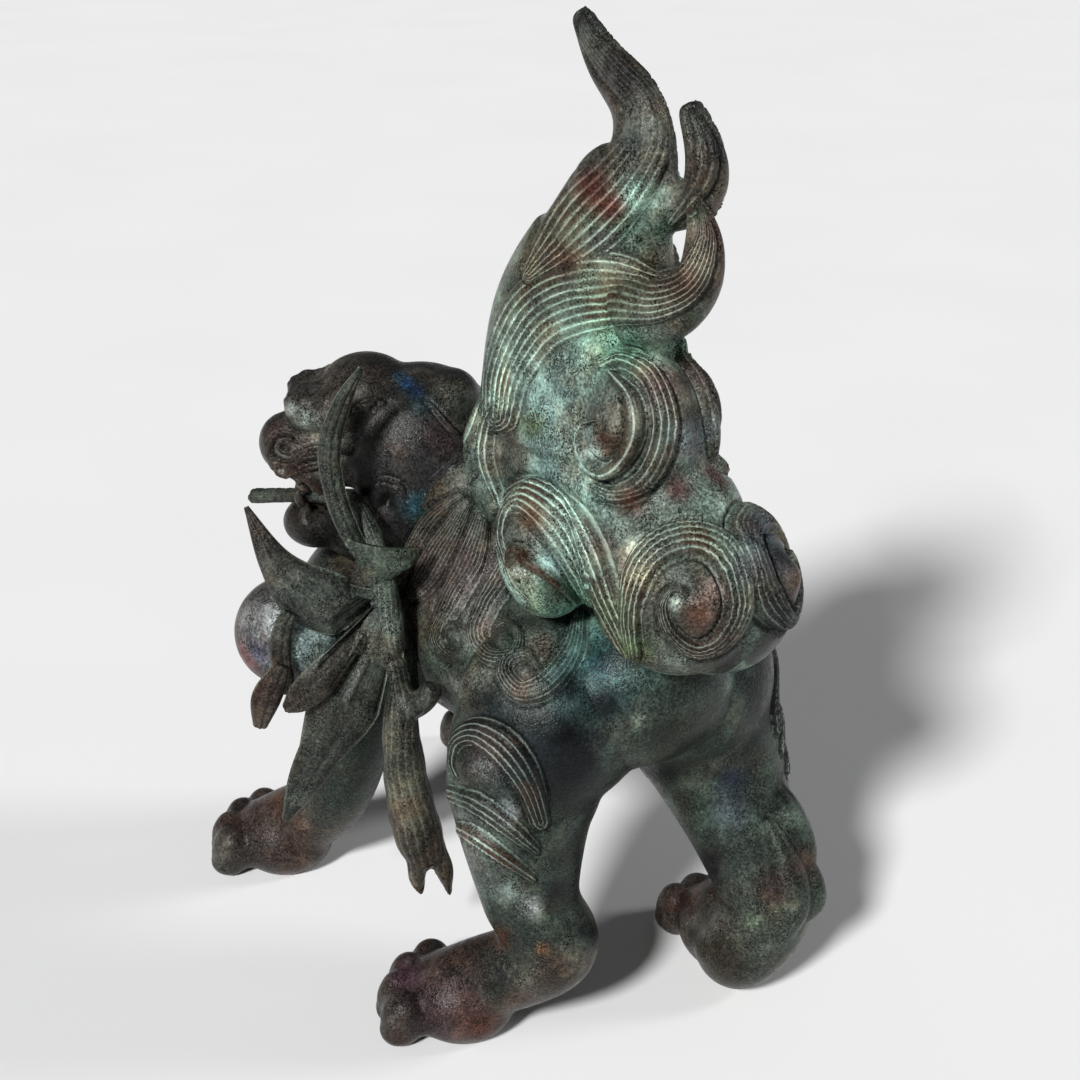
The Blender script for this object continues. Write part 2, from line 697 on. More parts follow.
def grey(n, value):
    return n.add("ShaderNodeCombineColor", {}, Red=value, Green=value, Blue=value).outputs[0]


def comb_marks(n, base):
    """Rubbed lanes, rust on their crests and shaded hollows; also how strongly each combed line shows."""
    hollow, crest, mask = n.attribute("hollow"), n.attribute("crest"), n.attribute("mask")
    wave = n.math("PINGPONG", n.attribute("lane"), 0.5)
    fading = n.ramp(n.noise(60, 2, 5.2), 0.36, 0.60, 0.38, 1.0)
    groove = n.math("MULTIPLY", n.ramp(wave, 0.04, 0.19, 0.9, 0.0), n.math("MULTIPLY", mask, fading))
    lane = n.math("MULTIPLY", n.ramp(wave, 0.16, 0.34), mask)
    base = n.blend(n.math("MULTIPLY", lane, 0.55), base, n.times(base, RUBBED))
    rust_spots = n.ramp(n.noise(52, 3, 4.1), 0.48, 0.62, 0.0, 0.85)
    rust_spots = n.math("MULTIPLY", rust_spots, lane)
    base = n.blend(n.math("MULTIPLY", rust_spots, crest, clamp=True), base, RUST)
    base = n.blend(n.math("MULTIPLY", hollow, 0.5, clamp=True), base, n.times(base, SHADED))
    return base, groove


def patina(name, chased=True, ground=None, dust=1.0, gloss=0.30):
    """Old bronze: zone colours, pale combed lines, dark rubbed lanes between them, black and pale specks."""
    n = Nodes(name)
    broad = n.noise(60, 6, 0.3)
    middle = n.noise(260, 6, 0.9)
    fine = n.noise(900, 4, 1.7)
    grain = n.noise(1500, 2, 2.9)
    base = n.attribute("tint", "Color") if chased else n.blend(0.0, ground, ground)
    base = n.times(base, grey(n, n.ramp(broad, 0.32, 0.68, 0.80, 1.20)))
    base = n.times(base, grey(n, n.ramp(middle, 0.34, 0.66, 0.84, 1.18)))
    warm = n.ramp(n.noise(55, 3, 6.4), 0.46, 0.68, 0.0, 0.5)
    base = n.blend(warm, base, n.times(base, WARMED))
    groove = 0.0
    if chased:
        base, groove = comb_marks(n, base)
    speckled = n.ramp(fine, 0.36, 0.58, 0.25, 1.0)
    crust = n.math("MULTIPLY", n.ramp(broad, 0.48, 0.66, 0.0, 0.30 * dust), speckled)
    base = n.blend(crust, base, n.times(base, DUSTED))
    chalk = n.blend(0.42, n.times(base, CHALKED), CREAM)
    lines = n.math("MULTIPLY", groove, n.ramp(fine, 0.34, 0.56, 0.72, 0.98), clamp=True)
    base = n.blend(lines, base, chalk)
    unchased = n.math("SUBTRACT", 1.0, n.math("MULTIPLY", lines, 0.65))
    base = n.blend(unchased, base, n.times(base, grey(n, n.ramp(fine, 0.34, 0.66, 1.40, 0.58))))
    dense = n.ramp(n.noise(110, 3, 8.8), 0.42, 0.60, 0.15, 0.95)
    specks = n.math("MULTIPLY", n.math("MULTIPLY", n.ramp(grain, 0.52, 0.58), dense), unchased)
    base = n.blend(specks, base, BLACK_SPOT)
    sparkle = n.ramp(n.noise(1100, 2, 7.3), 0.62, 0.70)
    glints = n.math("MULTIPLY", sparkle, n.ramp(middle, 0.40, 0.60, 0.1, 0.6))
    base = n.blend(glints, base, n.times(base, GLINTING))
    contrast = n.add("ShaderNodeGamma", {}, Gamma=CONTRAST, Color=base)
    base = n.times(contrast.outputs[0], BRIGHTNESS)
    vivid = n.add("ShaderNodeHueSaturation", {}, Saturation=0.98, Color=base)
    n.feed(n.shader.inputs["Base Color"], vivid.outputs[0])
    rough = n.ramp(middle, 0.3, 0.7, gloss - 0.07, gloss + 0.12)
    rough = n.math("ADD", rough, n.math("MULTIPLY", lines, 0.35))
    n.feed(n.shader.inputs["Roughness"], rough)
    n.shader.inputs["Metallic"].default_value = 0.12
    n.shader.inputs["Specular IOR Level"].default_value = 0.16
    height = n.math("MULTIPLY", groove, -0.5)
    height = n.math("ADD", height, n.math("MULTIPLY", fine, 0.45))
    height = n.math("ADD", height, n.math("MULTIPLY", grain, 0.25))
    bump = n.add("ShaderNodeBump", {}, Strength=0.9, Distance=0.0007, Height=height)
    n.feed(n.shader.inputs["Normal"], bump.outputs[0])
    return n.material


# ---- pieces ----------------------------------------------------------------------------------------------
def attribute(mesh, name, values):
    layer = mesh.attributes.new(name, "FLOAT", "POINT")
    layer.data.foreach_set("value", np.asarray(values, np.float32))


def piece(name, points, faces, material, body="body", replaces=(), tint=None, marks=None):
    """Put a finished surface in the scene, in metres in the part's frame."""
    mesh = plain_mesh((points - ORIGIN) * MM, faces)
    mesh.name = name
    mesh.polygons.foreach_set("use_smooth", np.ones(len(mesh.polygons), bool))
    if tint is not None:
        layer = mesh.attributes.new("tint", "FLOAT_COLOR", "POINT")
        colours = np.column_stack((tint, np.ones(len(tint)))).astype(np.float32)
        layer.data.foreach_set("color", colours.ravel())
        for key in MARKS:
            attribute(mesh, key, marks[key])
    mesh.materials.append(material)
    obj = bpy.data.objects.new(name, mesh)
    bpy.context.scene.collection.objects.link(obj)
    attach(obj, body)
    if replaces:
        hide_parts(*replaces)
    return obj


def share_out(points, groups):
    """How far every point lies from each group of forms, and how near it is to a seam between two."""
    nearest = [np.min([reach(points, form) for form in forms], axis=0) for forms in groups.values()]
    distances = np.stack(nearest)
    ordered = np.sort(distances, axis=0)
    return distances, ordered[1] - ordered[0]


def part_of(faces, owner, wanted):
    return [face for face in faces if owner[face[0]] == wanted]


def compact(faces, *columns):
    """Faces renumbered to use only the points they need, and those rows of every column."""
    used = np.unique(np.fromiter((index for face in faces for index in face), int))
    place = {old: new for new, old in enumerate(used)}
    small = [tuple(place[index] for index in face) for face in faces]
    return small, [column[used] for column in columns]


def cast(groups, distances, surface, tint, relief, body):
    """One casting for each group of forms, from the part of the surface that lies nearest to it."""
    points, faces = surface
    owner = distances.argmin(0)
    made = {}
    for index, name in enumerate(groups):
        mine = part_of(faces, owner, index)
        small, (spots, colour, *finish) = compact(mine, points, tint, *relief.marks().values())
        made[name] = piece(
            name + "_casting", spots, small, BRONZE, body, (name,), colour, dict(zip(MARKS, finish))
        )
    return made


def conform(points, host, gap=JOINT_GAP, chosen=None):
    """Push points that lie in or against a host surface out to just off it."""
    tree = BVHTree.FromPolygons([tuple(point) for point in host[0]], host[1])
    for index in range(len(points)) if chosen is None else np.flatnonzero(chosen):
        spot, normal, _, away = tree.find_nearest(points[index], 60)
        if spot is None:
            continue
        depth = (Vector(points[index]) - spot).dot(normal)
        if depth < gap and (depth < 0 or away < gap):
            points[index] = spot + normal * gap
    return points


# ---- the body: torso and legs ----------------------------------------------------------------------------
TOE_SPREAD = 27.0  # degrees between neighbouring toes
TOE_OUT = 28.0  # from the middle of the pad
FRONT_RADII = (32, 23, 18, 17)
HIND_RADII = (38, 31, 20, 17.5)
LEG_PLANS = {
    "leg_front_left": (
        [(32, -60, 142), (45, -54, 100), (50, -62, 56), (54, -74, 34)],
        FRONT_RADII,
        (65, -90, 36),
    ),
    "leg_front_right": (
        [(-32, -60, 142), (-44, -54, 100), (-48, -66, 56), (-53, -82, 34)],
        FRONT_RADII,
        (-60, -101, -34),
    ),
    "leg_hind_left": ([(30, 74, 144), (42, 72, 116), (45, 80, 68), (39, 88, 44)], HIND_RADII, (64, 60, 38)),
    "leg_hind_right": (
        [(-31, 78, 144), (-43, 81, 116), (-51, 102, 70), (-52, 115, 44), (-44, 108, 20)],
        (39, 32, 22, 20, 18),
        (-56, 89, -24),
    ),
}


def torso_forms():
    spine = [(0, -74, 146), (0, -38, 144), (0, 4, 144), (0, 50, 149), (0, 94, 156)]
    return [
        tube(spine, (36, 44, 45, 42, 34)),
        ball((0, 98, 158), (37, 25, 34)),
        ball((0, -78, 150), (38, 28, 40)),
        ball((2, -16, 184), (39, 46, 36)),
        ball((8, -6, 202), (30, 30, 26)),
    ]


def toe_turns(yaw):
    """The angle and the direction of each toe."""
    for k in range(4):
        angle = yaw + radians(TOE_SPREAD * (k - 1.5))
        yield angle, np.array((sin(angle), -cos(angle), 0.0))


def paw_forms(x, y, yaw):
    """The pad and four toes, pointing yaw away from straight ahead."""
    middle = np.array((x, y, 0.0))
    forward = np.array((sin(yaw), -cos(yaw), 0.0))
    forms = [ball(middle + forward * 2 + (0, 0, 14), (22, 24, 19), np.array(Matrix.Rotation(yaw, 3, "Z")))]
    for angle, ahead in toe_turns(yaw):
        turned = np.array(Matrix.Rotation(angle, 3, "Z"))
        forms.append(ball(middle + ahead * TOE_OUT + (0, 0, 11), (9, 9.5, 13), turned))
    return forms


def toe_details(x, y, yaw):
    """A round knuckle and a rounder tip on every toe."""
    middle = np.array((x, y, 0.0))
    forms = []
    for _, ahead in toe_turns(yaw):
        forms.append(ball(middle + ahead * (TOE_OUT - 1) + (0, 0, 15.5), (8, 9, 8.5)))
        forms.append(ball(middle + ahead * (TOE_OUT + 2) + (0, 0, 7), (7.5, 8, 7)))
    return forms


def leg_forms(name):
    joints, radii, (x, y, turn) = LEG_PLANS[name]
    joints = [*joints, (x, y, 20)]
    radii = (*radii, 17)
    forms = [tube(joints, radii)]
    forms += [ball(joint, (radius,) * 3) for joint, radius in zip(joints, radii)]
    return forms + paw_forms(x, y, radians(turn))


def body_details():
    """Toes, and the locks of hair behind the right hock."""
    forms = []
    for _, _, (x, y, turn) in LEG_PLANS.values():
        forms += toe_details(x, y, radians(turn))
    forms += [
        tube([(-52, 104, 104), (-58, 116, 88), (-61, 124, 72), (-60, 128, 60)], (4, 7, 7, 4)),
        tube([(-54, 118, 76), (-60, 127, 64), (-62, 132, 52), (-61, 131, 42)], (3, 6, 6, 3)),
        tube([(-47, 118, 88), (-50, 127, 70), (-50, 133, 54), (-48, 131, 36)], (3, 7, 7, 3)),
    ]
    return forms


MANE_LOCKS = [
    lock(6, (-34, 19, 2.5), (-46, 10, 4), (-54, -3, 4), (-60, -12, 2.5), pale=0.4),
    lock(9, (-31, 16, 3), (-42, -3, 6.5), (-51, -18, 6), (-59, -25, 3), rise=1.4, pale=0.5),
    lock(8, (-24, 13, 3), (-29, -6, 6.5), (-36, -21, 6), (-42, -34, 4.5), (-45, -43, 3.5), (-39, -50, 3),
         (-32, -47, 2.5), (-33, -39, 2), (-38, -36, 1.2), pale=0.6),
    lock(6, (-13, -4, 3), (-16, -16, 5.5), (-23, -28, 5), (-27, -39, 4.5), (-22, -49, 4), (-12, -49, 3.5),
         (-9, -41, 2.5), (-15, -34, 2), (-20, -37, 1), pale=0.7),
    lock(6, (17, -32, 3), (13, -48, 5.5), (3, -61, 6), (-8, -65, 5), (-15, -58, 4), (-14, -51, 3),
         (-6, -48, 2.5), (-1, -54, 1.5), pale=0.7),
]
THIGH_LOCKS = [
    lock(5, (0, -120, 4.5), (-4, -107, 6), (-10, -96, 7.5), (-18, -87, 7.5), (-28, -82, 6), (-36, -86, 3.5),
         (-38, -93, 2), (-36, -101, 1.5), rise=2.0),
    lock(4, (-2, -133, 2.5), (-15, -122, 4.5), (-28, -113, 4.5), (-41, -108, 3.5), (-49, -106, 1.5)),
    lock(3, (-3, -145, 2), (-17, -135, 3.5), (-30, -126, 3.5), (-40, -121, 1.5)),
]
# the eyes of the curls: right, up, radius and height on the sketch plane
BODY_BOSSES = [(-32.5, -96.5, 4.5, 2.2), (-5.5, -56, 3.8, 2.2), (-18, -40, 3.0, 1.4), (-38.5, -38, 3.5, 2.0)]


def make_body():
    """Torso and legs from one surface, then shared out between the five castings."""
    groups = {"torso": torso_forms()}
    groups.update((name, leg_forms(name)) for name in LEG_PLANS)
    forms = [form for group in groups.values() for form in group]
    points, normals, faces = fuse(forms, 2.6, 1.15, body_details())
    relief = Relief(points, normals)
    left, right = points[:, 0] > 2, points[:, 0] < -2
    relief.dress(MANE_LOCKS + THIGH_LOCKS, BODY_BOSSES, left, right, swap_sides)
    distances, seam = share_out(points, groups)
    relief.score(seam, points[:, 2] > 12, 0.6)
    relief.carve()
    points[:, 2] = np.maximum(points[:, 2], 0.0)
    tint = zone_colour(points, ZONES, GREY_GREEN)
    tint = spot_colour(tint, points, normals, FLANK_SPOTS, points[:, 0] > -2)
    tint = spot_colour(tint, points, normals, FLANK_SPOTS, points[:, 0] < 2, swap_sides)
    tint = spot_colour(tint, points, normals, FAR_LEG_SPOTS, points[:, 0] < -12)
    castings = cast(groups, distances, (points, faces), tint, relief, "body")
    open_torso(castings["torso"])
    return points, faces


BACK_FLOOR = 0.17  # metres: what there is of the torso above this is its back
BELLY_TOP = 0.12  # metres: what there is of the torso below this is its belly
CUT_REACH = (0.018, 0.020)  # metres: how far from the socket's middle the back is cut up


def open_torso(obj):
    """The socket for the tail's tenon, with its walls, and the opening behind the belly plate."""
    bm = bmesh.new()
    bm.from_mesh(obj.data)
    half_x, half_y = TENON[0] / 2 + SOCKET_ROOM, TENON[1] / 2 + SOCKET_ROOM
    middle = Vector((-ORIGIN[0], TENON_Y - ORIGIN[1], 0)) * MM

    def in_hole(spot, slack=0.0):
        across, along = abs(spot.x - middle.x), abs(spot.y - middle.y)
        return across < (half_x + slack) * MM and along < (half_y + slack) * MM

    near = [
        face for face in bm.faces
        if face.calc_center_median().z > BACK_FLOOR
        and abs(face.calc_center_median().x - middle.x) < CUT_REACH[0]
        and abs(face.calc_center_median().y - middle.y) < CUT_REACH[1]
    ]
    for axis, half in (("x", half_x), ("y", half_y)):
        for side in (-1, 1):
            normal = Vector((1, 0, 0)) if axis == "x" else Vector((0, 1, 0))
            near = [face for face in near if face.is_valid]
            # a dict, not a set, so that the pieces of the cut come in the same order on every run
            geometry = dict.fromkeys(item for face in near for item in (face, *face.edges, *face.verts))
            result = bmesh.ops.bisect_plane(
                bm, geom=list(geometry), plane_co=middle + normal * side * half * MM, plane_no=normal
            )
            near = [item for item in result["geom"] if isinstance(item, bmesh.types.BMFace)]
    gone = [face for face in near if face.is_valid and in_hole(face.calc_center_median())]
    bmesh.ops.delete(bm, geom=gone, context="FACES")
    rim = [
        edge for edge in bm.edges
        if edge.is_boundary and edge.verts[0].co.z > BACK_FLOOR
        and all(in_hole(vert.co, 0.1) for vert in edge.verts)
    ]
    walls = bmesh.ops.extrude_edge_only(bm, edges=rim)
    for vert in walls["geom"]:
        if isinstance(vert, bmesh.types.BMVert):
            vert.co.z = SOCKET_FOOT * MM
    plate_x, plate_y = -ORIGIN[0] * MM, (PLATE_Y - ORIGIN[1]) * MM
    under = []
    for face in bm.faces:
        spot = face.calc_center_median()
        across = (spot.x - plate_x) / PLATE_REACH[0] / MM
        along = (spot.y - plate_y) / PLATE_REACH[1] / MM
        if spot.z < BELLY_TOP and across**2 + along**2 < 0.94:
            under.append(face)
    bmesh.ops.delete(bm, geom=under, context="FACES")
    bm.to_mesh(obj.data)
    bm.free()


# ---- the tail --------------------------------------------------------------------------------------------
TAIL_LOCKS = [
    lock(7, (38, -49, 4), (27, -27, 7), (18, -7, 10), (8, 9, 10.5), (-5, 19, 8.5), (-14, 15, 3.5),
         (-18, 4, 2), (-16, -7, 1.5), (-12, -18, 1.5), (-6, -26, 1), rise=3.0, cut=1.1, edge=2.0),
    lock(1, (15, -26, 1.5), (5, -16, 3), (-4, -9, 3), (-11, -3, 2), (-13, -9, 1.5), (-10, -17, 1),
         rise=2.6, edge=2.0),
    lock(2, (31, 71, 2), (39, 61, 4), (41, 47, 4.5), (36, 35, 4), (28, 29, 3.5), (20, 33, 3), (16.5, 42, 2.4),
         (18.5, 49, 1.6), (23, 51, 1), rise=3.0, cut=1.0, edge=2.4),
    lock(4, (24, 75, 2), (36, 78, 4), (48, 70, 5), (54, 53, 5.5), (52, 37, 5.5), (44, 24, 5), (32, 19, 4),
         (22, 23, 2), rise=2.0, cut=0.9, edge=1.8),
    lock(6, (40, -49, 3), (38, -31, 4.5), (42, -14, 6.5), (51, -3, 7.5), (65, 1, 7.5), (77, -4, 7.5),
         (84, -18, 6.5), (84, -32, 6), (76, -44, 4.5), (65, -47, 3.5), (55, -39, 3), (52, -28, 2.4),
         (56.5, -21, 1.6), (62, -22, 1), rise=3.0, cut=1.1, edge=2.4),
    lock(9, (-18, 53, 7.5), (-15, 73, 10.5), (-4, 94, 14.5), (11, 104, 16.5), (30, 107, 15.5), (49, 104, 11),
         (64, 111, 8.5), (71, 128, 5), (69, 143, 1.5), rise=1.8, cut=0.8),
    lock(3, (-18, 17, 2.5), (-24, 34, 3.5), (-23, 47, 3.5), (-19, 58, 2.5), rise=1.2),
    lock(2, (-25, 58, 2), (-29, 47, 3), (-33, 38, 2.5), (-34, 30, 2), (-31, 24, 1.5), (-28, 28, 1.5),
         rise=1.4),
    lock(8, (-4, 113, 4.5), (9, 126, 12), (21, 139, 16.5), (35, 154, 14.5), (45, 171, 11), (43, 188, 8),
         (31, 202, 7), (21, 215, 4.5), (18, 225, 1.5), rise=1.6, cut=0.8),
    lock(3, (56, 136, 2.5), (66, 148, 5), (71, 159, 6), (70, 172, 5), (64, 184, 1.5), rise=1.0),
]
TAIL_BOSSES = [(27, 45, 6.5, 3.2), (68, -29, 8.5, 3.6), (-6, -12, 3.5, 1.8)]


def tail_groups():
    base = [
        ball((0, 62, 236), (30, 56, 48)),
        ball((0, 88, 222), (34, 50, 38)),
        ball((0, 31, 240), (22, 28, 34)),
        tube([(0, 57, 250), (0, 55, 285), (0, 63, 322)], (61, 51, 34), 0.53),
        ball((9, 99, 264), (19, 23, 30)),
        ball((-3, 97, 262), (17, 21, 28)),
        ball((9, 122, 210), (30, 32, 32)),
        ball((-8, 122, 205), (30, 32, 32)),
        ball((33, 74, 214), (17, 22, 27)),
        ball((-31, 72, 210), (17, 22, 26)),
    ]
    for side in (-1, 1):
        base.append(ball((side * 19, 23, 230), (10, 20, 28)))
    main = [(0, 66, 318), (0, 74, 340), (0, 84, 357), (0, 81, 375), (0, 62, 389), (0, 48, 404)]
    lower = [(8, 92, 305), (8, 112, 312), (8, 126, 325), (8, 128, 340), (8, 122, 353)]
    rear = [(-4, 89, 340), (-7, 107, 347), (-6, 112, 361), (-6, 101, 379)]
    return {
        "tail_base": base,
        "tail_flame_main": [tube(main, (34, 24.5, 15.5, 11.5, 8.5, 5), 0.6)],
        "tail_prong_rear": [tube(rear, (9, 8, 7.5, 4))],
        "tail_prong_lower": [tube(lower, (12, 11, 8.5, 6.5, 3))],
    }


def make_tail(body):
    """The tail's four castings from one surface, and the tenon under them."""
    groups = tail_groups()
    forms = [form for group in groups.values() for form in group]
    points, normals, faces = fuse(forms, 2.0, 1.1)
    relief = Relief(points, normals)
    left, right = points[:, 0] >= 0, points[:, 0] < 0
    # the thin flame leans over the middle plane, so what faces the viewer there counts as the left
    left = left | (points[:, 2] > 300) & (normals @ VIEW_BACK > 0.1)
    right = right & ~left
    relief.dress(TAIL_LOCKS, TAIL_BOSSES, left, right, swap_sides)
    distances, seam = share_out(points, groups)
    relief.score(seam, 1.0, 0.5)
    relief.carve()
    conform(points, body, chosen=points[:, 2] < TAIL_CONTACT)
    tint = zone_colour(points, ZONES, (0.13, 0.17, 0.145))
    tint = spot_colour(tint, points, normals, TAIL_SPOTS, left)
    tint = spot_colour(tint, points, normals, TAIL_SPOTS, right, swap_sides)
    tint = spot_colour(tint, points, normals, FAR_EDGE_SPOTS, right)
    # pale lines fade towards the flame's tip and on the side out of the light
    relief.mask *= 1 - 0.8 * ramp(points[:, 2], 335, 372)
    relief.mask[right] *= 0.6
    cast(groups, distances, (points, faces), tint, relief, "tail")
    add_tenon()


def add_tenon():
    """The square peg under the tail that drops into the back."""
    half_x, half_y = TENON[0] / 2, TENON[1] / 2
    low = [(half_x * x, TENON_Y + half_y * y, TENON_FOOT) for x, y in SQUARE]
    high = [(half_x * x, TENON_Y + half_y * y, TENON_TOP) for x, y in SQUARE]
    faces = [(3, 2, 1, 0), (4, 5, 6, 7)] + [(k, (k + 1) % 4, 4 + (k + 1) % 4, 4 + k) for k in range(4)]
    obj = piece("tail_tenon", np.array(low + high, float), faces, RAW_BRONZE, "tail")
    obj.data.polygons.foreach_set("use_smooth", np.zeros(len(obj.data.polygons), bool))
    bevel = obj.modifiers.new("edge", "BEVEL")
    bevel.width = 0.0008
    bevel.segments = 2


# ---- the head --------------------------------------------------------------------------------------------
HEAD_LOCKS = [
    lock(1, (-106, 44, 1), (-110, 45, 1.3), (-114, 43, 1.5), (-115, 38, 1.5), (-112, 35, 1.5),
         (-107, 34, 1.3), (-102, 37, 1.7), (-96, 39, 2), (-89, 39, 2), rise=2.2, pale=0.7),
    lock(1, (-111, 32, 1.2), (-106, 31.5, 1.7), (-101, 34.5, 1.9), (-95, 35.5, 1.9), (-88, 35, 1.6),
         rise=2.0, pale=0.5),
    lock(1, (-116, 29, 1), (-109, 28, 1.7), (-102, 30, 1.8), (-94, 31.5, 1.8), (-88, 30, 1.2),
         rise=1.8, pale=0.5),
    lock(1, (-103, 28, 1), (-98, 27, 3), (-93, 22.5, 3.6), (-88, 17, 1.6), rise=2.8, pale=0.6),
    lock(1, (-104, 22, 0.8), (-100, 21, 1.8), (-96, 17, 1.8), (-92, 13, 0.8), rise=2.0, pale=0.4),
    lock(1, (-80, 55.5, 0.7), (-75, 59, 0.8), (-69, 60, 0.8), (-63, 58, 0.6), rise=0.9),
    lock(1, (-72, 56.5, 0.6), (-67, 58, 0.8), (-62, 55, 0.6), rise=0.8),
    lock(1, (-49, 60, 0.8), (-45, 56, 1.2), (-39, 49, 1.4), (-34, 45, 0.8), rise=1.6, pale=0.3),
    lock(1, (-71, 25, 0.8), (-66, 26, 1.1), (-59, 23, 1.3), (-57, 18, 0.8), rise=1.6, pale=0.6),
]
BROW_CURLS = [
    (-108, 61, 3.4, 1.9), (-102, 67, 3.8, 2.0), (-100.5, 59, 2.8, 1.8), (-94, 66, 3.4, 1.9),
    (-104, 55, 2.6, 1.5), (-92, 60, 2.6, 1.4), (-97, 53, 2.2, 1.1), (-85, 64, 3.0, 1.0),
]
HEAD_BOSSES = [
    *(
        boss
        for right_by, up, radius, height in BROW_CURLS
        for boss in ((right_by, up, radius, height), (right_by, up, radius * 0.3, -0.8))
    ),
    (-109.5, 39.5, 2.2, -2.2),
    (-101, 8, 4.5, 1.6),
    (-66, 16, 4.0, -4.5),
]


def head_forms():
    forms = [
        head_ball(-8, 0, 7, 35, 34, 34),
        head_ball(-20, 0, -8, 25, 28, 32),
        head_ball(30, 0, 3, 24, 21, 14),
        head_ball(48, 0, 8, 12, 14, 13),
        head_ball(14, 0, 31, 20, 22, 15),
        head_ball(37, 0, -28, 15, 16, 11),
        head_ball(12, 0, -33, 24, 18, 13),
        head_ball(-21, 4, 27, 13, 19, 13),
    ]
    for side in (-1, 1):
        forms += [
            head_ball(-3, side * 20, -6, 22, 14, 26),
            head_ball(36, side * 8, 26, 12, 10, 10),
            head_ball(24, side * 15, 26, 13, 11, 11),
        ]
    return forms


def head_details():
    """Eyeballs, nostril wings, fangs and the rolled edge of the lip."""
    forms = []
    for side in (-1, 1):
        forms += [
            head_ball(22, side * 20, 16, 6.5, 5, 6),
            head_ball(49, side * 8, 3, 7, 6.5, 6),
            head_ball(43, side * 12, -11, 2.6, 2.4, 6),
            head_ball(41, side * 10.5, -20, 2.4, 2.2, 6),
        ]
    return forms


def make_head(body):
    mouth = head_ball(38, 0, -13.5, 37, 44, 6)
    points, normals, faces = fuse(head_forms(), 1.8, 0.95, head_details(), mouth)
    relief = Relief(points, normals)
    across = (points - HEAD_CENTRE) @ HEAD_LEFT
    left, right = across > 0.5, across < -0.5
    relief.dress(HEAD_LOCKS, HEAD_BOSSES, left, right, swap_cheeks)
    relief.carve()
    conform(points, body, chosen=points[:, 2] < HEAD_CONTACT)
    tint = zone_colour(points, HEAD_ZONES, CHARCOAL, two_sided=False)
    tint = spot_colour(tint, points, normals, HEAD_SPOTS, left)
    tint = spot_colour(tint, points, normals, HEAD_SPOTS, right, swap_cheeks)
    piece("head_casting", points, faces, BRONZE, "body", ("head",), tint, relief.marks())
    return points, faces


def make_tongue():
    forms = [head_ball(26, 0, -18, 19, 8.5, 3), head_ball(41, 0, -17, 8, 7, 2.4)]
    points, _, faces = fuse(forms, 1.2, 0.8, smoothing=2)
    piece("tongue_casting", points, faces, RAW_BRONZE, "body", ("tongue",))


# ---- the spray held in the mouth -------------------------------------------------------------------------
SPRAY_GAP = 0.4  # between the spray and the body or head it lies on
LEAF_COLUMNS = 22  # points across a leaf


def leaf_faces(rows):
    """Faces of a leaf: the upper and lower sides, then the two long rims, then the two ends."""
    count = LEAF_COLUMNS
    under = rows * count
    faces = []
    for i in range(rows - 1):
        for k in range(count - 1):
            a, b = i * count + k, i * count + k + 1
            c, d = a + count, b + count
            faces.append((a, b, d, c))
            faces.append((a + under, c + under, d + under, b + under))
    for i in range(rows - 1):
        for k in (0, count - 1):
            a, c = i * count + k, (i + 1) * count + k
            faces.append((a, c, c + under, a + under) if k == 0 else (c, a, a + under, c + under))
    for i in (0, rows - 1):
        for k in range(count - 1):
            a, b = i * count + k, i * count + k + 1
            faces.append((b, a, a + under, b + under) if i == 0 else (a, b, b + under, a + under))
    return faces


def leaf(name, spine, widths, thickness=1.6, cup=0.12, lobes=0, veins=7, fan=False, slot="bronze"):
    """A cast leaf with a lens section, cupped across, its rim scalloped into lobes and its face veined."""
    knots = [(*head_at(*point), width) for point, width in zip(spine, widths)]
    line = smooth_line(knots, 0.9)
    centres, half = line[:, :3], np.maximum(line[:, 3], 1.0) / 2
    along = np.linspace(0, 1, len(line))
    if lobes:
        half = half * (1 + 0.12 * np.abs(np.sin(along * lobes * np.pi)) - 0.06)
    ahead = np.gradient(centres, axis=0)
    ahead /= np.linalg.norm(ahead, axis=1)[:, None]
    side = np.cross(ahead, HEAD_LEFT)
    side /= np.linalg.norm(side, axis=1)[:, None]
    normal = np.cross(side, ahead)
    normal *= np.sign(normal @ HEAD_LEFT)[:, None]
    share = np.linspace(-1, 1, LEAF_COLUMNS)
    wave = 0.35 * np.sin(along * 9 + 1)[:, None] * share**2
    body = centres[:, None] + side[:, None] * (half[:, None] * share)[..., None]
    lift = -cup * half[:, None] * 2 * share**2 + wave
    thick = thickness / 2 * np.sqrt(np.clip(1 - share**4, 0, 1))
    ridge = 0.45 * np.exp(-((share / 0.10) ** 2))
    combed = 0.14 * np.cos(share * veins * np.pi)
    top = body + normal[:, None] * (lift + thick + ridge + combed)[..., None]
    under = body + normal[:, None] * (lift - thick)[..., None]
    points = np.concatenate((top.reshape(-1, 3), under.reshape(-1, 3)))
    rows = len(line)
    lane = np.tile((share + 1) * veins / 2, (rows, 1)).reshape(-1)
    if fan:
        lane = ((share + 1) * veins / 2 + along[:, None] * 0.8).reshape(-1)
    lane = np.concatenate((lane, lane))
    edge = np.tile(np.clip(np.abs(share) * 5 - 4, 0, 1), rows)
    edge = np.concatenate((edge, edge))
    marks = {
        "lane": lane,
        "mask": 0.10 + 0.45 * edge,
        "hollow": np.clip(0.35 - edge, 0, 1) * 0.6,
        "crest": edge,
    }
    tint = zone_colour(points, LEAF_ZONES, LEAF_GREY, two_sided=False)
    return name, points, leaf_faces(rows), tint, marks, slot


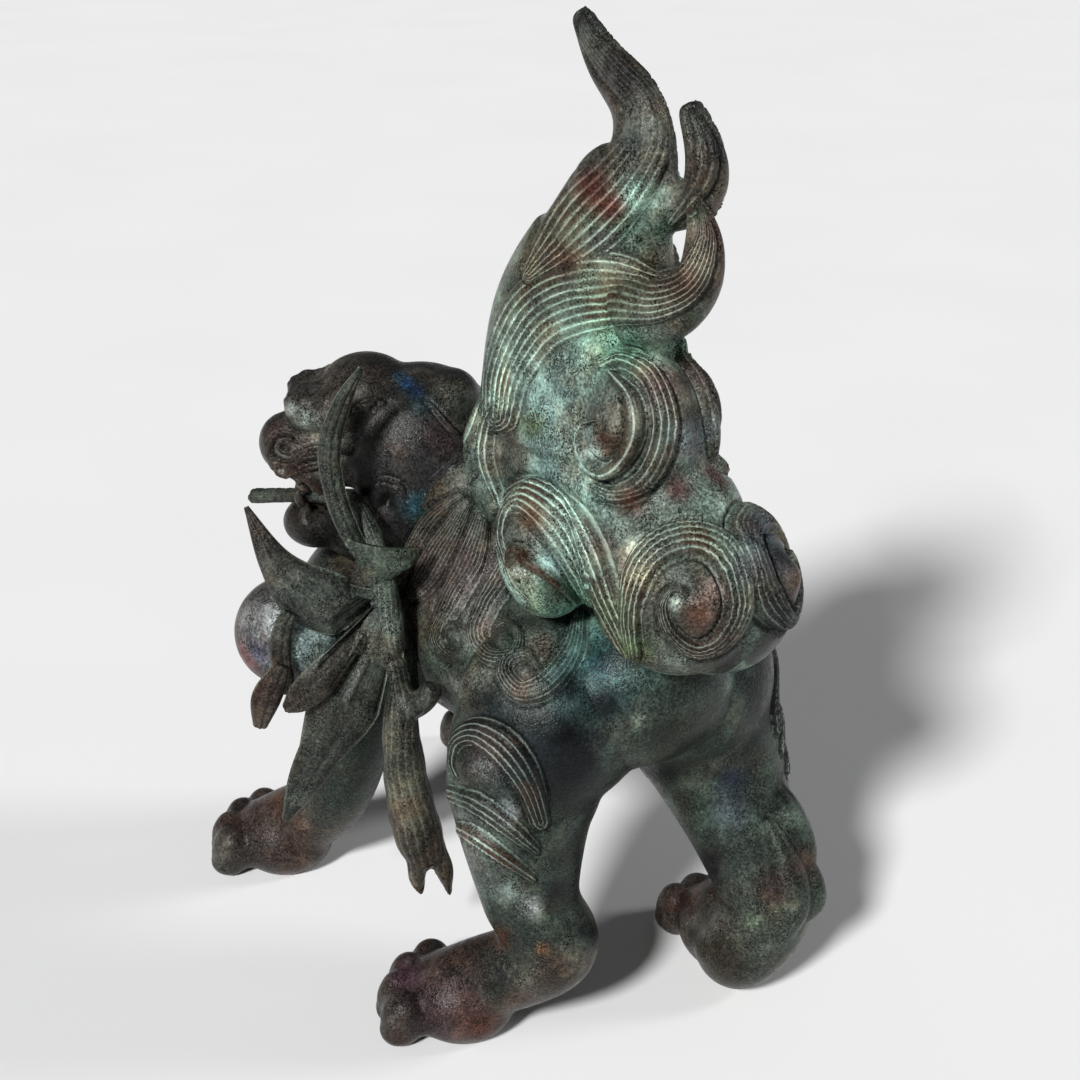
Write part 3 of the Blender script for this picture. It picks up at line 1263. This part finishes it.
LEAF_GREY = (0.045, 0.050, 0.043)
LEAF_ZONES = [
    (head_at(10, 52, -42), 14, (0.085, 0.10, 0.088)),
    (head_at(2, 56, -24), 14, (0.060, 0.075, 0.060)),
    (head_at(36, 58, -38), 16, (0.056, 0.062, 0.055)),
    (head_at(54, 60, -6), 16, (0.044, 0.040, 0.036)),
    (head_at(0, 59, -160), 22, (0.062, 0.052, 0.040)),
    (head_at(-4, 60, -120), 18, (0.062, 0.064, 0.050)),
    (head_at(55, 63, -76), 16, (0.044, 0.034, 0.028)),
]


def make_leaves(body, head):
    leaves = [
        leaf("leaf_upright",
             [(12, 46, -30), (21, 49, -12), (26, 50, 6), (27, 50, 24), (21, 50, 43), (13, 50, 57)],
             (6, 8.5, 9, 9, 7, 2), 2.2, 0.14, veins=3),
        leaf("leaf_veined", [(12, 51, -36), (10, 55, -28), (8, 58, -21), (7, 59, -15)],
             (7, 18, 27, 31), lobes=4, veins=8, fan=True),
        leaf("leaf_big", [(10, 52, -42), (24, 56, -44), (38, 59, -36), (50, 60, -20), (60, 58, 3)],
             (10, 26, 27, 14, 2), 2.4, veins=5),
        leaf("leaf_long",
             [(7, 52, -42), (14, 57, -64), (24, 60, -84), (34, 60, -104), (45, 58, -126), (53, 55, -143)],
             (9, 27, 29, 22, 13, 4), 2.8, lobes=3, veins=3),
        leaf("leaf_lobe", [(17, 56, -55), (25, 62, -64), (36, 64.5, -73), (44, 64, -81), (49, 62.5, -85)],
             (8, 15, 15, 12, 5), 2.8, veins=2),
        leaf("sepal_strip", [(45, 61, -42), (48, 61, -48), (50, 61.5, -60), (48, 62, -78)],
             (6, 8, 9, 7), 2.4, veins=3, slot="brown_bronze"),
        leaf("sepal_tip", [(49, 64.5, -64), (52, 65, -70), (57, 65, -80), (60, 64.5, -92)],
             (6, 10, 12, 6), 2.4, veins=3, slot="brown_bronze"),
    ]
    for name, points, faces, tint, marks, slot in leaves:
        conform(points, body, SPRAY_GAP)
        conform(points, head, SPRAY_GAP)
        piece(name + "_casting", points, faces, BRONZE, "body", (name,), tint, marks)


def bark(points, normals, lines):
    """Marks of a stem with lengthwise ridges, from how far round its line each point lies."""
    line = smooth_line([(*head_at(*p), 1.0) for p in lines], 1.5)[:, :3]
    across, over = ring_frames(line)
    nearest = np.linalg.norm(points[:, None] - line[None], axis=2).argmin(1)
    offset = points - line[nearest]
    angle = np.arctan2((offset * over[nearest]).sum(1), (offset * across[nearest]).sum(1))
    lane = angle / (2 * np.pi) * 16 + 0.35 * np.sin(points[:, 2] * 0.11)
    height = -0.35 * np.exp(-((np.abs(lane - np.round(lane)) / 0.22) ** 2))
    height += 0.25 * np.sin(points[:, 2] * 0.35 + angle * 3)
    points += normals * height[:, None]
    even = {"mask": 0.22, "hollow": 0.08, "crest": 0.4}
    return {"lane": lane, **{key: np.full(len(points), value) for key, value in even.items()}}


def make_branch(body, head):
    stem_line = [
        (66, -8, -19.5), (44, 3, -15), (28, 18, -10), (18, 34, -7), (10, 46, -25), (6, 51, -50), (5, 51, -66),
    ]
    fork_line = [(5, 52, -67), (3, 57, -94), (1, 59, -124), (-3, 60, -148), (-7, 60, -162)]
    fork = [
        head_tube(fork_line, (6, 7.5, 9.5, 10.5, 8)),
        head_tube(((-3, 61, -155), (-2, 62, -168), (-4, 61, -180)), (6, 4, 1.5)),
        head_tube(((-9, 60, -155), (-14, 60, -168), (-16, 60, -181)), (6, 4, 1.5)),
        head_tube(((3, 58, -90), (-6, 62, -84), (-12, 64, -75)), (6, 5.5, 4.5)),
    ]
    stem = [head_tube(stem_line, (3.6, 3.6, 3.6, 4, 5.5, 6, 6))]
    for name, forms, line in (("branch_stem", stem, stem_line), ("branch_lower", fork, fork_line)):
        points, normals, faces = fuse(forms, 1.4, 0.9, smoothing=2)
        marks = bark(points, normals, line)
        conform(points, body, SPRAY_GAP)
        if name == "branch_lower":
            conform(points, head, SPRAY_GAP)
        tint = zone_colour(points, LEAF_ZONES, LEAF_GREY, two_sided=False)
        piece(name + "_casting", points, faces, BRONZE, "body", (name,), tint, marks)


def make_bud(body, head):
    forms = [
        ball(head_at(48, 35, -63), (23.5, 23.5, 23.5)),
        head_tube(((40, 38, -60), (24, 44, -50), (8, 48, -42)), (5, 4, 4)),
    ]
    points, normals, faces = fuse(forms, 1.8, 1.2)
    relief = Relief(points, normals)
    conform(points, body, SPRAY_GAP)
    conform(points, head, SPRAY_GAP)
    zones = [
        (head_at(36, 56, -58), 14, (0.21, 0.27, 0.26)),
        (head_at(58, 54, -50), 9, (0.12, 0.12, 0.12)),
        (head_at(64, 48, -68), 5, (0.11, 0.040, 0.038)),
        (head_at(56, 48, -80), 7, (0.085, 0.060, 0.048)),
        (head_at(58, 54, -62), 4.5, (0.040, 0.055, 0.10)),
    ]
    tint = zone_colour(points, zones, (0.075, 0.070, 0.067), two_sided=False)
    marks = {**relief.marks(), "crest": relief.crest + 0.3}
    piece("bud_casting", points, faces, BRONZE, "body", ("bud",), tint, marks)


# ---- stage, light, camera --------------------------------------------------------------------------------
FLOOR_REACH = 14.0  # metres
FLOOR_DROP = -0.0005


def make_stage():
    mesh = bpy.data.meshes.new("floor")
    corners = [(x * FLOOR_REACH, y * FLOOR_REACH, FLOOR_DROP) for x, y in SQUARE]
    mesh.from_pydata(corners, [], [(0, 1, 2, 3)])
    floor = bpy.data.objects.new("floor", mesh)
    bpy.context.scene.collection.objects.link(floor)
    n = Nodes("floor_paper")
    tone = n.ramp(n.noise(5, 1), 0.2, 0.8, 0.90, 0.92)
    n.feed(n.shader.inputs["Base Color"], grey(n, tone))
    n.shader.inputs["Roughness"].default_value = 0.9
    mesh.materials.append(n.material)


def frame_point(point):
    return Vector((np.array(point, float) - ORIGIN) * MM)


def sun(name, towards, strength, softness):
    """Light that comes from the given direction, its softness in degrees."""
    data = bpy.data.lights.new(name, "SUN")
    data.energy = strength
    data.angle = radians(softness)
    light = bpy.data.objects.new(name, data)
    light.rotation_mode = "QUATERNION"
    light.rotation_quaternion = Vector(towards).to_track_quat("Z", "Y")
    bpy.context.scene.collection.objects.link(light)


def make_light():
    world = bpy.data.worlds.new("studio")
    world.use_nodes = True
    world.node_tree.nodes["Background"].inputs["Color"].default_value = (0.97, 0.98, 1.0, 1.0)
    world.node_tree.nodes["Background"].inputs["Strength"].default_value = 0.10
    bpy.context.scene.world = world
    sun("key", VIEW_BACK - VIEW_RIGHT * 0.42 + VIEW_UP * 0.26, 3.9, 9)
    sun("rim", VIEW_RIGHT + VIEW_UP * 0.5 + VIEW_BACK * 0.15, 0.9, 12)


def make_camera():
    data = bpy.data.cameras.new("camera")
    data.lens = 60
    data.sensor_width = 36
    data.clip_start = 0.05
    data.clip_end = 60
    camera = bpy.data.objects.new("camera", data)
    camera.location = frame_point(VIEW_EYE)
    camera.rotation_mode = "QUATERNION"
    camera.rotation_quaternion = Vector(-VIEW_BACK).to_track_quat("-Z", "Y")
    bpy.context.scene.collection.objects.link(camera)
    bpy.context.scene.camera = camera


# ---- assembly --------------------------------------------------------------------------------------------
BRONZE = patina("patinated_bronze")
RAW_BRONZE = patina("plain_bronze", chased=False, ground=(0.07, 0.06, 0.045), dust=0.6)
PIN_BRONZE = patina("pin_bronze", chased=False, ground=(0.11, 0.08, 0.05), dust=0.3, gloss=0.36)

body_surface = make_body()
make_tail(body_surface)
head_surface = make_head(body_surface)
make_tongue()
make_branch(body_surface, head_surface)
make_bud(body_surface, head_surface)
make_leaves(body_surface, head_surface)
for node_name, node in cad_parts.items():
    if "dowel" in node_name or "rivet" in node_name:
        node.data.materials.clear()
        node.data.materials.append(PIN_BRONZE)
    if node_name == "belly_plate":
        node.data.materials.clear()
        node.data.materials.append(RAW_BRONZE)
make_stage()
make_light()
make_camera()
bpy.context.scene.view_settings.view_transform = "Standard"
